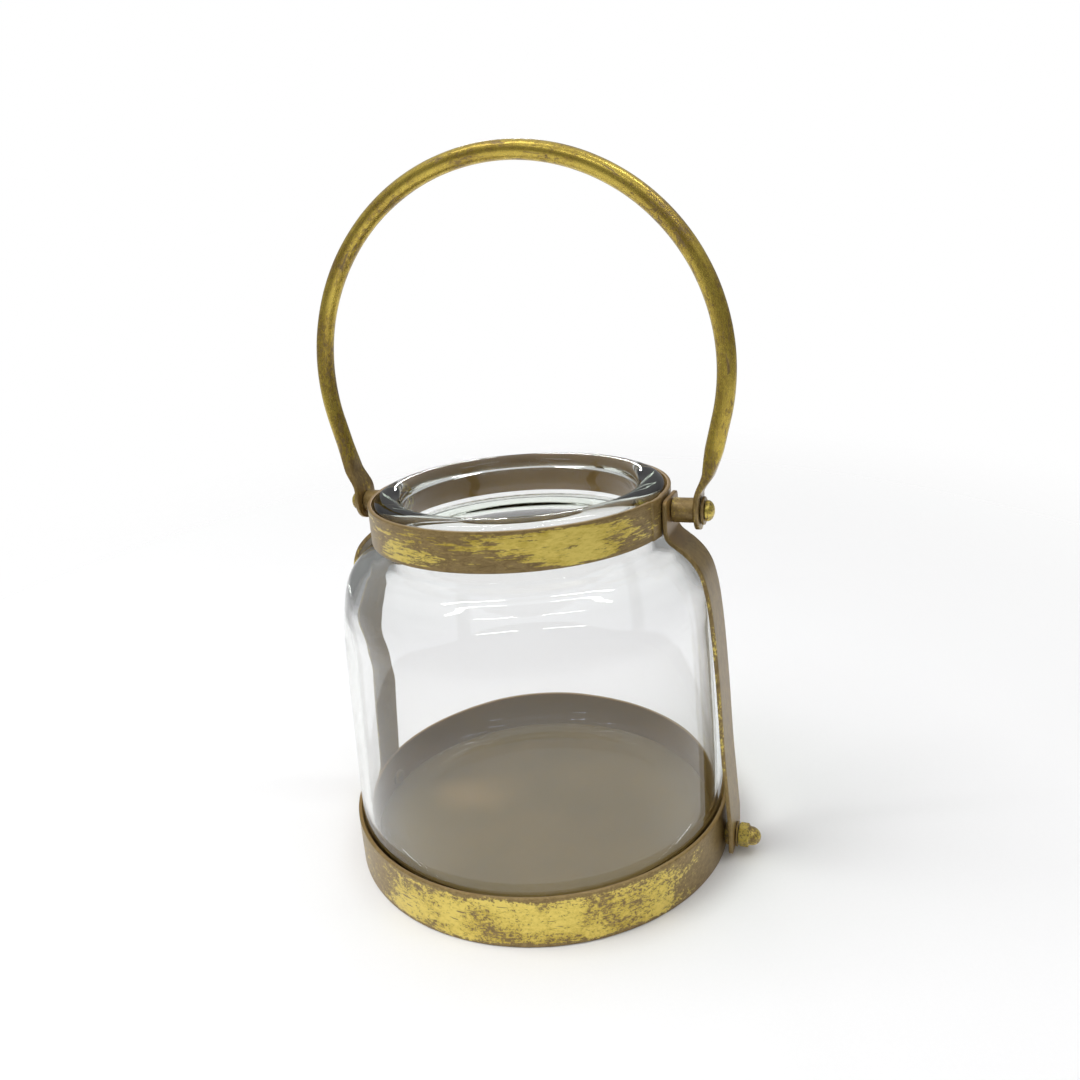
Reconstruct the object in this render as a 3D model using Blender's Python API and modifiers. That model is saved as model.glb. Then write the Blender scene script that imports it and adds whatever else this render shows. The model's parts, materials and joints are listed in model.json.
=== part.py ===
"""Jar lantern: a wide-mouthed glass jar in a strap frame of gilded steel, with a swinging bail handle.

The origin is the centre of the tray's underside and +Z is up. The handle turns about a line along X.
"""

import math

import bmesh
import bpy
from mathutils import Vector
from mathutils.geometry import interpolate_bezier

MM = 0.001
GAP = 0.3 * MM  # left between neighbouring solids
SHEET = 1.5 * MM  # tray band, tray plate and collar

# Tray
TRAY_R = 77 * MM
TRAY_HEIGHT = 20 * MM
PLATE_R = TRAY_R - SHEET - GAP

# Jar
JAR_FOOT_Z = SHEET + GAP
JAR_WALL = 3.5 * MM
JAR_FLOOR = 6.2 * MM
JAR_R = 75 * MM
HEEL_R = 18 * MM
NECK_R = 52.3 * MM
LIP_MID_R = 50.2 * MM
LIP_HALF_WIDTH = 5.2 * MM
LIP_RISE = 3.6 * MM
LIP_TOP_Z = 148.2 * MM

# Collar
COLLAR_R = 57.4 * MM
COLLAR_LOW_Z = 131.4 * MM
COLLAR_TOP_Z = 145.8 * MM

# Straps
STRAP_WIDTH = 19 * MM
STRAP_THICK = 1.6 * MM
STRAP_TOP_Z = 144.2 * MM
STRAP_LOW_Z = 2.5 * MM
STRAP_TOP_X = COLLAR_R + GAP + STRAP_THICK
STRAP_LOW_X = 81.2 * MM
STRAP_CORNER_R = 2.5 * MM

# Handle, measured from its pivot line
PIVOT_Z = 138.9 * MM
BAR_R = 3.35 * MM
ARCH_HALF_WIDTH = 79.2 * MM
ARCH_RISE = 75.9 * MM
ARCH_FOOT_H = 50 * MM
HIP_R = 73 * MM
LIMB_LEAN = math.radians(13.3)
EYE_X = 68.9 * MM
EYE_R = 6.9 * MM
EYE_HALF_THICK = 1.0 * MM
EYE_FLAT_H = 5 * MM
FORGED_H = 24 * MM  # the bar is round above this height
LIMB_LOW_H = 14 * MM

# Pivot fasteners
PIVOT_SHANK_R = 2.0 * MM
TUBE_R = 4.5 * MM
TUBE_END_X = EYE_X - EYE_HALF_THICK - GAP
PIVOT_WASHER_X = EYE_X + EYE_HALF_THICK + GAP
PIVOT_WASHER_THICK = 1.0 * MM
PIVOT_WASHER_R = 5.1 * MM
DOME_R = 3.8 * MM
DOME_RISE = 3.0 * MM
PIVOT_NUT_X = 53.1 * MM
PIVOT_NUT_THICK = 2.0 * MM
PIVOT_NUT_FLATS = 7.0 * MM

# Lower fasteners
LOWER_Z = 6.5 * MM
LOWER_SHANK_R = 2.5 * MM
LOWER_HEAD_R = 3.9 * MM
LOWER_HEAD_THICK = 1.7 * MM
LOWER_NUT_FLATS = 8.0 * MM
LOWER_WASHER_R = 4.9 * MM
LOWER_WASHER_THICK = 0.6 * MM
ACORN_HEIGHT = 8.3 * MM
ACORN_HEX_HEIGHT = 4.0 * MM
ACORN_DOME_R = 3.6 * MM
ACORN_NECK = 0.6 * MM  # straight part between the hexagon and the dome
ACORN_X = STRAP_LOW_X + 2 * GAP + LOWER_WASHER_THICK
LOWER_SHANK_END = ACORN_X + ACORN_HEIGHT - 2.3 * MM

JAR_STEPS = 54
BAND_STEPS = 80
SMALL_STEPS = 20
BAR_SIDES = 12
ARCH_STEPS = 15

SIDES = {"right": 1, "left": -1}


def clear_scene():
    for obj in list(bpy.data.objects):
        bpy.data.objects.remove(obj, do_unlink=True)


def new_collection(name):
    collection = bpy.data.collections.new(name)
    bpy.context.scene.collection.children.link(collection)
    return collection


def new_material(name, colour, metallic, roughness, transmission=0.0):
    material = bpy.data.materials.new(name)
    material.use_nodes = True
    shader = material.node_tree.nodes["Principled BSDF"]
    shader.inputs["Base Color"].default_value = (*colour, 1.0)
    shader.inputs["Metallic"].default_value = metallic
    shader.inputs["Roughness"].default_value = roughness
    shader.inputs["Transmission Weight"].default_value = transmission
    return material


def new_object(name, mesh, collection, material=None):
    obj = bpy.data.objects.new(name, mesh)
    collection.objects.link(obj)
    if material:
        mesh.materials.append(material)
    return obj


def mesh_from_bmesh(name, bm):
    mesh = bpy.data.meshes.new(name)
    bm.to_mesh(mesh)
    bm.free()
    mesh.shade_smooth()
    mesh.set_sharp_from_angle(angle=math.radians(35))
    return mesh


def new_tool(name, mesh, tools):
    """A shape that only cuts, or is joined to, other pieces."""
    obj = new_object(name, mesh, tools)
    obj.hide_render = True
    obj.display_type = "WIRE"
    return obj


def apply_boolean(obj, tool, operation="DIFFERENCE"):
    modifier = obj.modifiers.new(tool.name, "BOOLEAN")
    modifier.object = tool
    modifier.operation = operation


def arc(centre_r, centre_z, radius, start_deg, end_deg, count):
    """Points on an arc, from its start to its end, as (r, z)."""
    points = []
    for step in range(count + 1):
        angle = math.radians(start_deg + (end_deg - start_deg) * step / count)
        points.append((centre_r + radius * math.cos(angle), centre_z + radius * math.sin(angle)))
    return points


def smooth(points, per_span):
    """A curve through all but the first and last points, which only set its end directions."""
    knots = [Vector((*point, 0)) for point in points]
    curve = []
    for before, start, end, after in zip(knots, knots[1:], knots[2:], knots[3:]):
        start_handle = start + (end - before) / 6
        end_handle = end - (after - start) / 6
        span = interpolate_bezier(start, start_handle, end_handle, end, per_span + 1)
        curve += [(point.x, point.y) for point in span[:-1]]
    return curve + [points[-2]]


def profile_mesh(name, profile, closed):
    """The outline that a Screw modifier turns about Z. It runs down its outer side, top to bottom."""
    bm = bmesh.new()
    verts = [bm.verts.new((r, 0, z)) for r, z in profile]
    for start, end in zip(verts, verts[1:]):
        bm.edges.new((start, end))
    if closed:
        bm.edges.new((verts[-1], verts[0]))
    return mesh_from_bmesh(name, bm)


def turn(obj, steps):
    screw = obj.modifiers.new("turn", "SCREW")
    screw.steps = steps
    screw.render_steps = steps
    screw.use_merge_vertices = True
    screw.merge_threshold = 0.00001
    screw.use_smooth_shade = True


def turned(name, profile, closed, steps, collection, material):
    obj = new_object(name, profile_mesh(name, profile, closed), collection, material)
    turn(obj, steps)
    return obj


def place_along_x(obj, side, height):
    """Turns a piece made along +Z to point outwards along X, on the given side."""
    obj.rotation_euler = (0, side * math.pi / 2, 0)
    obj.location = (0, 0, height)


def ring_profile(inner_r, outer_r, low, high):
    return [(outer_r, high), (outer_r, low), (inner_r, low), (inner_r, high)]


def new_drill(name, radius, half_length, height, tools):
    """A rod along X through both sides of the lantern, which cuts the bolt holes."""
    bm = bmesh.new()
    bmesh.ops.create_cone(
        bm, cap_ends=True, segments=24, radius1=radius, radius2=radius, depth=2 * half_length
    )
    drill = new_tool(name, mesh_from_bmesh(name, bm), tools)
    place_along_x(drill, 1, height)
    return drill


def hex_mesh(name, flats, low, high):
    """A six-sided nut blank along Z, with its end corners eased."""
    bm = bmesh.new()
    corner_r = flats / 2 / math.cos(math.pi / 6)
    bmesh.ops.create_cone(
        bm, cap_ends=True, segments=6, radius1=corner_r, radius2=corner_r, depth=high - low
    )
    bmesh.ops.translate(bm, vec=(0, 0, (low + high) / 2), verts=bm.verts)
    ends = [edge for edge in bm.edges if abs(edge.verts[0].co.z - edge.verts[1].co.z) < GAP]
    bmesh.ops.bevel(bm, geom=ends, offset=0.25 * MM, segments=1, affect="EDGES")
    return mesh_from_bmesh(name, bm)


def jar_outline():
    """From the middle of the jar's floor, up the inside, over the lip and down to the foot."""
    inner_heel_r = 13 * MM
    floor_z = JAR_FOOT_Z + JAR_FLOOR
    inner_heel_mid_r = JAR_R - JAR_WALL - inner_heel_r
    inside = [(0, floor_z)]
    inside += arc(inner_heel_mid_r, floor_z + inner_heel_r, inner_heel_r, -90, 0, 5)
    inner_side = [(71.4, 30), (70.2, 65), (68.8, 94), (66.8, 107.5), (63.2, 114.9), (58.7, 119.4)]
    inner_side += [(54, 122.3), (50.4, 125), (48, 129.6), (46.4, 136), (45.1, 141)]
    inside += [(r * MM, z * MM) for r, z in inner_side]
    lip = []
    for step in range(9):
        angle = math.pi * step / 8
        lip_r = LIP_MID_R - LIP_HALF_WIDTH * math.cos(angle)
        lip.append((lip_r, LIP_TOP_Z - LIP_RISE + LIP_RISE * math.sin(angle)))
    shoulder = [(52.3, 150), (52.3, 142), (52.3, 135), (53.6, 130.6), (57.6, 127.2), (63.2, 123.6)]
    shoulder += [(67.8, 118.2), (70.4, 110), (72.3, 96), (73.7, 65), (74.9, 27), (75, 20)]
    side = smooth([(r * MM, z * MM) for r, z in shoulder], 2)
    heel = arc(JAR_R - HEEL_R, JAR_FOOT_Z + HEEL_R, HEEL_R, 0, -90, 6)
    return inside + lip + side + heel + [(0, JAR_FOOT_Z)]


def make_jar(collection, material):
    turned("glass_jar", jar_outline(), False, JAR_STEPS, collection, material)


def make_tray(collection, material, drill):
    band = ring_profile(TRAY_R - SHEET, TRAY_R, 0, TRAY_HEIGHT)
    ring = turned("base_ring", band, True, BAND_STEPS, collection, material)
    apply_boolean(ring, drill)
    disc = [(0, SHEET), (PLATE_R, SHEET), (PLATE_R, 0), (0, 0)]
    turned("base_plate", disc, False, BAND_STEPS, collection, material)


def make_collar(collection, material, drill):
    band = ring_profile(COLLAR_R - SHEET, COLLAR_R, COLLAR_LOW_Z, COLLAR_TOP_Z)
    collar = turned("collar_band", band, True, BAND_STEPS, collection, material)
    apply_boolean(collar, drill)


def strap_outline():
    """The strap's outer face, from its upper end on the collar down to the tray, as (x, z)."""
    bend = [(60.4, 130.2), (63, 128), (66.2, 125.4), (69.4, 121.9), (71.8, 117.6), (73.4, 112)]
    bend += [(74.7, 104.5), (76, 92), (77.4, 72), (78.9, 44)]
    knee = [(x * MM, z * MM) for x, z in bend]
    top_end = (STRAP_TOP_X, STRAP_TOP_Z)
    top_bend = (STRAP_TOP_X, 133.6 * MM)
    low_bend = (STRAP_LOW_X, 13 * MM)
    low_end = (STRAP_LOW_X, STRAP_LOW_Z)
    return [top_end, *smooth([top_end, top_bend, *knee, low_bend, low_end], 2), low_end]


def strap_mesh():
    bm = bmesh.new()
    rows = []
    for x, z in strap_outline():
        row = [bm.verts.new((x, y, z)) for y in (-STRAP_WIDTH / 2, STRAP_WIDTH / 2)]
        rows.append(row)
    for above, below in zip(rows, rows[1:]):
        bm.faces.new((above[0], below[0], below[1], above[1]))
    bmesh.ops.bevel(
        bm, geom=rows[0] + rows[-1], offset=STRAP_CORNER_R, segments=3, affect="VERTICES"
    )
    return mesh_from_bmesh("strap", bm)


def make_straps(collection, material, drills):
    mesh = strap_mesh()
    mesh.materials.append(material)
    for side_name, side in SIDES.items():
        strap = new_object(f"{side_name}_strap", mesh, collection)
        strap.rotation_euler = (0, 0, 0 if side > 0 else math.pi)
        sheet = strap.modifiers.new("sheet", "SOLIDIFY")
        sheet.thickness = STRAP_THICK
        sheet.offset = -1
        sheet.use_even_offset = True
        for drill in drills:
            apply_boolean(strap, drill)


def ease(value, low, high):
    """0 below low, 1 above high and a smooth rise between them."""
    share = min(max((value - low) / (high - low), 0), 1)
    return share * share * (3 - 2 * share)


def handle_half_path():
    """The right half of the handle's middle line, from the end of the eye to the crown, as (x, h)."""
    path = []
    for angle in (84, 66, 44, 22):
        path.append((EYE_X, -EYE_R * math.sin(math.radians(angle))))
    path += [(EYE_X, 0), (EYE_X, EYE_FLAT_H / 2)]
    hip_mid_x = ARCH_HALF_WIDTH - HIP_R
    hip_low_x = hip_mid_x + HIP_R * math.cos(LIMB_LEAN)
    hip_low_h = ARCH_FOOT_H - HIP_R * math.sin(LIMB_LEAN)
    limb_low_x = hip_low_x - (hip_low_h - LIMB_LOW_H) * math.tan(LIMB_LEAN)
    foot = Vector((EYE_X, EYE_FLAT_H, 0))
    foot_handle = foot + Vector((0, (LIMB_LOW_H - EYE_FLAT_H) / 3, 0))
    limb = Vector((limb_low_x, LIMB_LOW_H, 0))
    limb_handle = limb - Vector((math.sin(LIMB_LEAN), math.cos(LIMB_LEAN), 0)) * 3 * MM
    neck = interpolate_bezier(foot, foot_handle, limb_handle, limb, 5)
    path += [(point.x, point.y) for point in neck]
    for share in (0.3, 0.55, 0.8):
        limb_x = limb_low_x + (hip_low_x - limb_low_x) * share
        path.append((limb_x, LIMB_LOW_H + (hip_low_h - LIMB_LOW_H) * share))
    path += arc(hip_mid_x, ARCH_FOOT_H, HIP_R, -math.degrees(LIMB_LEAN), 0, 3)[:-1]
    for step in range(ARCH_STEPS):
        angle = math.pi / 2 * step / ARCH_STEPS
        path.append((ARCH_HALF_WIDTH * math.cos(angle), ARCH_FOOT_H + ARCH_RISE * math.sin(angle)))
    return path


def handle_section(middle, tangent, height):
    """One ring of points round the bar: round above, a flat eye plate at the pivot."""
    forged = 1 - ease(height, EYE_FLAT_H, FORGED_H)
    half_thick = BAR_R + (EYE_HALF_THICK - BAR_R) * forged
    half_width = BAR_R + (EYE_R - BAR_R) * (1 - ease(height, 0, FORGED_H))
    if height < 0:
        half_width = math.sqrt(EYE_R**2 - height**2)
    roundness = 2 / (2 + 4 * forged)
    across = Vector((tangent.z, 0, -tangent.x))
    ring = []
    for step in range(BAR_SIDES):
        angle = 2 * math.pi * step / BAR_SIDES
        over = math.copysign(abs(math.cos(angle)) ** roundness, math.cos(angle))
        along = math.copysign(abs(math.sin(angle)) ** roundness, math.sin(angle))
        ring.append(middle + across * half_thick * over + Vector((0, half_width * along, 0)))
    return ring


def loft_mesh(name, rings):
    bm = bmesh.new()
    loops = [[bm.verts.new(point) for point in ring] for ring in rings]
    for lower, upper in zip(loops, loops[1:]):
        for here in range(len(lower)):
            after = (here + 1) % len(lower)
            bm.faces.new((lower[here], lower[after], upper[after], upper[here]))
    bm.faces.new(reversed(loops[0]))
    bm.faces.new(loops[-1])
    bmesh.ops.recalc_face_normals(bm, faces=bm.faces)
    return mesh_from_bmesh(name, bm)


def make_handle(collection, material, drill):
    half = handle_half_path()
    crown = (0, ARCH_FOOT_H + ARCH_RISE)
    mirrored = [(-x, h) for x, h in reversed(half)]
    points = [Vector((x, 0, h)) for x, h in [*half, crown, *mirrored]]
    rings = []
    for here, point in enumerate(points):
        before = points[max(here - 1, 0)]
        after = points[min(here + 1, len(points) - 1)]
        rings.append(handle_section(point, (after - before).normalized(), point.z))
    handle = new_object("bail_handle", loft_mesh("bail_handle", rings), collection, material)
    handle.location = (0, 0, PIVOT_Z)
    apply_boolean(handle, drill)


def dome_outline(radius, base, rise, count):
    """From the top of a rounded head down to its rim, as (r, z)."""
    points = []
    for step in range(count + 1):
        angle = math.pi / 2 * (1 - step / count)
        points.append((radius * math.cos(angle), base + rise * math.sin(angle)))
    return points


def make_pivot_fasteners(side_name, side, collection, material, drill):
    bore_r = PIVOT_SHANK_R + GAP
    washer_end = PIVOT_WASHER_X + PIVOT_WASHER_THICK
    head_x = washer_end + GAP
    tube = ring_profile(bore_r, TUBE_R, STRAP_TOP_X + GAP, TUBE_END_X)
    washer = ring_profile(bore_r, PIVOT_WASHER_R, PIVOT_WASHER_X, washer_end)
    bolt = dome_outline(DOME_R, head_x + 0.4 * MM, DOME_RISE - 0.4 * MM, 5)
    bolt += [(DOME_R, head_x), (PIVOT_SHANK_R, head_x)]
    bolt += [(PIVOT_SHANK_R, PIVOT_NUT_X), (0, PIVOT_NUT_X)]
    pieces = [("spacer_tube", tube, True), ("pivot_washer", washer, True), ("pivot_bolt", bolt, False)]
    for piece_name, outline, closed in pieces:
        piece = turned(f"{side_name}_{piece_name}", outline, closed, SMALL_STEPS, collection, material)
        place_along_x(piece, side, PIVOT_Z)
    nut_end = PIVOT_NUT_X + PIVOT_NUT_THICK
    mesh = hex_mesh("pivot_nut", PIVOT_NUT_FLATS, PIVOT_NUT_X, nut_end)
    nut = new_object(f"{side_name}_pivot_nut", mesh, collection, material)
    place_along_x(nut, side, PIVOT_Z)
    apply_boolean(nut, drill)


def make_lower_fasteners(side_name, side, collection, tools, material, drill):
    head_seat = TRAY_R - SHEET - 1.4 * GAP
    head_x = head_seat - LOWER_HEAD_THICK
    strap_inner_x = STRAP_LOW_X - STRAP_THICK
    washer_x = STRAP_LOW_X + GAP
    bolt = [(0, LOWER_SHANK_END), (LOWER_SHANK_R, LOWER_SHANK_END), (LOWER_SHANK_R, head_seat)]
    bolt += [(LOWER_HEAD_R, head_seat), (LOWER_HEAD_R, head_x + 0.6 * MM)]
    bolt += [(LOWER_HEAD_R - 0.6 * MM, head_x), (0, head_x)]
    washer_end = washer_x + LOWER_WASHER_THICK
    washer = ring_profile(LOWER_SHANK_R + GAP, LOWER_WASHER_R, washer_x, washer_end)
    for piece_name, outline, closed in (("lower_bolt", bolt, False), ("lower_washer", washer, True)):
        piece = turned(f"{side_name}_{piece_name}", outline, closed, SMALL_STEPS, collection, material)
        place_along_x(piece, side, LOWER_Z)
    mesh = hex_mesh("spacer_nut", LOWER_NUT_FLATS, TRAY_R + GAP, strap_inner_x - GAP)
    spacer = new_object(f"{side_name}_spacer_nut", mesh, collection, material)
    place_along_x(spacer, side, LOWER_Z)
    apply_boolean(spacer, drill)
    mesh = hex_mesh("acorn_hex", LOWER_NUT_FLATS, ACORN_X, ACORN_X + ACORN_HEX_HEIGHT)
    acorn = new_object(f"{side_name}_acorn_nut", mesh, collection, material)
    place_along_x(acorn, side, LOWER_Z)
    hex_end = ACORN_X + ACORN_HEX_HEIGHT
    dome_rise = ACORN_HEIGHT - ACORN_HEX_HEIGHT - ACORN_NECK
    outline = dome_outline(ACORN_DOME_R, hex_end + ACORN_NECK, dome_rise, 6)
    outline += [(ACORN_DOME_R, hex_end - MM), (0, hex_end - MM)]
    dome = new_tool(f"{side_name}_acorn_dome", profile_mesh("acorn_dome", outline, False), tools)
    turn(dome, SMALL_STEPS)
    place_along_x(dome, side, LOWER_Z)
    apply_boolean(acorn, dome, "UNION")
    apply_boolean(acorn, drill)


def main():
    clear_scene()
    lantern = new_collection("mason_jar_lantern")
    tools = new_collection("tools")
    gold = new_material("gilded_steel", (0.46, 0.34, 0.11), 0.85, 0.42)
    glass = new_material("clear_glass", (0.93, 0.97, 0.95), 0.0, 0.03, 1.0)
    pivot_drill = new_drill("pivot_drill", PIVOT_SHANK_R + GAP, 90 * MM, PIVOT_Z, tools)
    lower_drill = new_drill("lower_drill", LOWER_SHANK_R + GAP, LOWER_SHANK_END + GAP, LOWER_Z, tools)
    make_jar(lantern, glass)
    make_tray(lantern, gold, lower_drill)
    make_collar(lantern, gold, pivot_drill)
    make_straps(lantern, gold, (pivot_drill, lower_drill))
    make_handle(lantern, gold, pivot_drill)
    for side_name, side in SIDES.items():
        make_pivot_fasteners(side_name, side, lantern, gold, pivot_drill)
        make_lower_fasteners(side_name, side, lantern, tools, gold, lower_drill)


main()
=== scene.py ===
"""The looks of the jar lantern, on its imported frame: clear glass, rubbed gold leaf and soft studio light.

Lengths are in metres in the frame's axes: +Z up, the handle's pivot line along X, the front towards -Y.
"""

import json
import math

import bmesh
import bpy
from mathutils import Matrix, Vector, noise
from mathutils.geometry import interpolate_bezier


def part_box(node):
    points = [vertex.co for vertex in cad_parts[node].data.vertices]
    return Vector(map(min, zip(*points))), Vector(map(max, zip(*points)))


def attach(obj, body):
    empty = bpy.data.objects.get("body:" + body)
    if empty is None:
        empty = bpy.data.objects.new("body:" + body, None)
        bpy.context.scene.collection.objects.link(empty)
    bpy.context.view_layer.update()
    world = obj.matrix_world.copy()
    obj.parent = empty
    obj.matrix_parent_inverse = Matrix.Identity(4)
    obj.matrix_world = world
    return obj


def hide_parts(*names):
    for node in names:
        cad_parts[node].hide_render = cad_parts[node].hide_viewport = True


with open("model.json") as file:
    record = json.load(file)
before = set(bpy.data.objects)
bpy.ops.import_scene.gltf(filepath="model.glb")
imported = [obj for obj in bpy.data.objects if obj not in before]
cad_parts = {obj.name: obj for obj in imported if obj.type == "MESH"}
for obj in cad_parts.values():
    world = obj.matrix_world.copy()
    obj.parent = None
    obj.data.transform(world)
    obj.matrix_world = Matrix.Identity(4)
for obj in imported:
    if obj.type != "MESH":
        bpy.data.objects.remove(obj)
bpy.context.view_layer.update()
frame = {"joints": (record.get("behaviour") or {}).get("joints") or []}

MM = 0.001
BODY = "lantern"
HANDLE_BODY = "handle"
SIDES = {"right": 1, "left": -1}

# Camera
CAMERA_PLACE = Vector((0.1308, -0.3045, 0.2273))
CAMERA_AIM = Vector((0.0060, 0.0024, 0.1243))
CAMERA_ROLL = math.radians(-4.33)
CAMERA_LENS = 29.72
CAMERA_SENSOR = 36

# Sizes read from the frame
TRAY_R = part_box("base_ring")[1].x
TRAY_TOP_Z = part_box("base_ring")[1].z
PLATE_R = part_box("base_plate")[1].x
PLATE_TOP_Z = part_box("base_plate")[1].z
SHEET = PLATE_TOP_Z
COLLAR_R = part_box("collar_band")[1].x
COLLAR_LOW_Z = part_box("collar_band")[0].z
COLLAR_TOP_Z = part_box("collar_band")[1].z
JAR_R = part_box("glass_jar")[1].x
JAR_FOOT_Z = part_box("glass_jar")[0].z
JAR_TOP_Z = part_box("glass_jar")[1].z
STRAP_TOP_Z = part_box("right_strap")[1].z
STRAP_LOW_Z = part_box("right_strap")[0].z
STRAP_LOW_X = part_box("right_strap")[1].x
STRAP_WIDTH = 2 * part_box("right_strap")[1].y
STRAP_TOP_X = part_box("right_spacer_tube")[0].x - 0.3 * MM
PIVOT_Z = frame["joints"][0]["pos_m"][2]
LOWER_Z = (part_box("right_lower_bolt")[0].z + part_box("right_lower_bolt")[1].z) / 2
STRAP_THICK = 1.6 * MM

# Handle outline, measured from its pivot line
BAR_R = 3.35 * MM
ARCH_FOOT_H = 50 * MM
ARCH_HALF_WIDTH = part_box("bail_handle")[1].x - BAR_R
ARCH_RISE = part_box("bail_handle")[1].z - BAR_R - ARCH_FOOT_H - PIVOT_Z
HIP_R = 73 * MM
LIMB_LEAN = math.radians(13.3)
EYE_R = PIVOT_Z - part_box("bail_handle")[0].z
EYE_X = (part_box("right_spacer_tube")[1].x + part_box("right_pivot_washer")[0].x) / 2
EYE_HALF_THICK = 1.0 * MM
EYE_FLAT_H = 5 * MM
EYE_ROWS_DEG = (88, 84, 78, 70, 60, 48, 34, 18)
FORGED_H = 24 * MM
LIMB_LOW_H = 14 * MM
HANDLE_SIDES = 40

PIVOT_SHANK_R = 2.0 * MM
LOWER_SHANK_R = 2.5 * MM
GAP = 0.3 * MM
PIVOT_BORE_R = PIVOT_SHANK_R + GAP
LOWER_BORE_R = LOWER_SHANK_R + GAP

SHARP_ANGLE = math.radians(40)


# ---------------------------------------------------------------- outlines


def ease(value, low, high):
    """0 below low, 1 above high and a smooth rise between them."""
    share = min(max((value - low) / (high - low), 0), 1)
    return share * share * (3 - 2 * share)


def arc(centre, radius, start_deg, end_deg, count):
    """Points on an arc, both ends included, as (r, z)."""
    points = []
    for step in range(count + 1):
        angle = math.radians(start_deg + (end_deg - start_deg) * step / count)
        points.append((centre[0] + radius * math.cos(angle), centre[1] + radius * math.sin(angle)))
    return points


def in_metres(points):
    """Points given in mm, turned into metres."""
    return [(across * MM, up * MM) for across, up in points]


def smooth(points, per_span):
    """A curve through all but the first and last points, which only set its end directions."""
    knots = [Vector((*point, 0)) for point in points]
    curve = []
    for before, start, end, after in zip(knots, knots[1:], knots[2:], knots[3:]):
        start_handle = start + (end - before) / 6
        end_handle = end - (after - start) / 6
        span = interpolate_bezier(start, start_handle, end_handle, end, per_span + 1)
        curve += [(point.x, point.y) for point in span[:-1]]
    return curve + [points[-2]]


def eased(corners, radius, closed=True, steps=4):
    """The outline through the corners, each rounded off. An open outline keeps its two ends sharp."""
    count = len(corners)
    outline = []
    for here, corner in enumerate(corners):
        if not closed and here in (0, count - 1):
            outline.append(tuple(corner))
            continue
        corner = Vector(corner)
        before = Vector(corners[here - 1]) - corner
        after = Vector(corners[(here + 1) % count]) - corner
        reach = min(radius, before.length * 0.45, after.length * 0.45)
        start = corner + before.normalized() * reach
        end = corner + after.normalized() * reach
        for step in range(steps + 1):
            share = step / steps
            point = start.lerp(corner, share).lerp(corner.lerp(end, share), share)
            outline.append(tuple(point))
    return outline


def filled(outline, longest, closed=True):
    """The same outline with points added, so that no span is longer than longest."""
    ends = [*outline[1:], outline[0]] if closed else outline[1:]
    dense = []
    for here, there in zip(outline, ends):
        parts = math.ceil(math.dist(here, there) / longest)
        for part in range(max(parts, 1)):
            share = part / max(parts, 1)
            dense.append(tuple(a + (b - a) * share for a, b in zip(here, there)))
    return dense if closed else [*dense, outline[-1]]


# ---------------------------------------------------------------- meshes


def shade_smoothly(mesh):
    """Smooth shading that keeps the sharp edges sharp."""
    mesh.shade_smooth()
    mesh.set_sharp_from_angle(angle=SHARP_ANGLE)


def finished_mesh(name, bm):
    """Turns bm into a mesh with no doubled points and its faces outwards."""
    bmesh.ops.remove_doubles(bm, verts=bm.verts, dist=1e-7)
    bmesh.ops.dissolve_degenerate(bm, edges=bm.edges, dist=1e-8)
    bmesh.ops.recalc_face_normals(bm, faces=bm.faces)
    mesh = bpy.data.meshes.new(name)
    bm.to_mesh(mesh)
    bm.free()
    shade_smoothly(mesh)
    return mesh


def skin(name, rows, wrap_rows=False, wrap_ring=True, cap=None):
    """A mesh through rows of points.

    cap closes the first and last "row", or the "ring" ends of a split band.
    """
    bm = bmesh.new()
    grid = [[bm.verts.new(point) for point in row] for row in rows]
    count = len(grid[0])
    row_pairs = list(zip(grid, grid[1:])) + ([(grid[-1], grid[0])] if wrap_rows else [])
    for lower, upper in row_pairs:
        for here in range(count if wrap_ring else count - 1):
            after = (here + 1) % count
            bm.faces.new((lower[here], lower[after], upper[after], upper[here]))
    if cap == "row":
        bm.faces.new(grid[0])
        bm.faces.new(reversed(grid[-1]))
    if cap == "ring":
        bm.faces.new([row[0] for row in grid])
        bm.faces.new([row[-1] for row in reversed(grid)])
    return finished_mesh(name, bm)


def turned_rows(outline, steps, start=0.0, sweep=2 * math.pi, split=False):
    """Rows of points for an outline of (r, z) turned about Z."""
    gaps = steps - 1 if split else steps
    angles = [start + sweep * step / gaps for step in range(steps)]
    return [[(r * math.cos(a), r * math.sin(a), z) for a in angles] for r, z in outline]


def new_object(name, mesh):
    obj = bpy.data.objects.new(name, mesh)
    bpy.context.scene.collection.objects.link(obj)
    return obj


def along_x(mesh, side, height):
    """Turns a mesh made along +Z so that it points outwards along X, at a height."""
    turn = Matrix.Rotation(side * math.pi / 2, 4, "Y")
    mesh.transform(Matrix.Translation((0, 0, height)) @ turn)
    return mesh


def bored(obj, radius, height):
    """Cuts one bolt hole along X through obj, on both sides of the lantern."""
    bm = bmesh.new()
    length = 3 * TRAY_R
    bmesh.ops.create_cone(bm, cap_ends=True, segments=64, radius1=radius, radius2=radius, depth=length)
    drill = new_object("drill", along_x(finished_mesh("drill", bm), 1, height))
    cut = obj.modifiers.new("hole", "BOOLEAN")
    cut.object = drill
    graph = bpy.context.evaluated_depsgraph_get()
    mesh = bpy.data.meshes.new_from_object(obj.evaluated_get(graph))
    obj.modifiers.remove(cut)
    obj.data = mesh
    bpy.data.objects.remove(drill)
    shade_smoothly(mesh)


def mark(obj, grain, wear):
    """Stores what the paint follows: where a point lies along the piece, and how rubbed its leaf is."""
    mesh = obj.data
    points = [vertex.co.copy() for vertex in mesh.vertices]
    mesh.attributes.new("grain", "FLOAT_VECTOR", "POINT")
    mesh.attributes.new("wear", "FLOAT", "POINT")
    places = [part for co in points for part in grain(co)]
    mesh.attributes["grain"].data.foreach_set("vector", places)
    mesh.attributes["wear"].data.foreach_set("value", [wear(co) for co in points])


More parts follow.
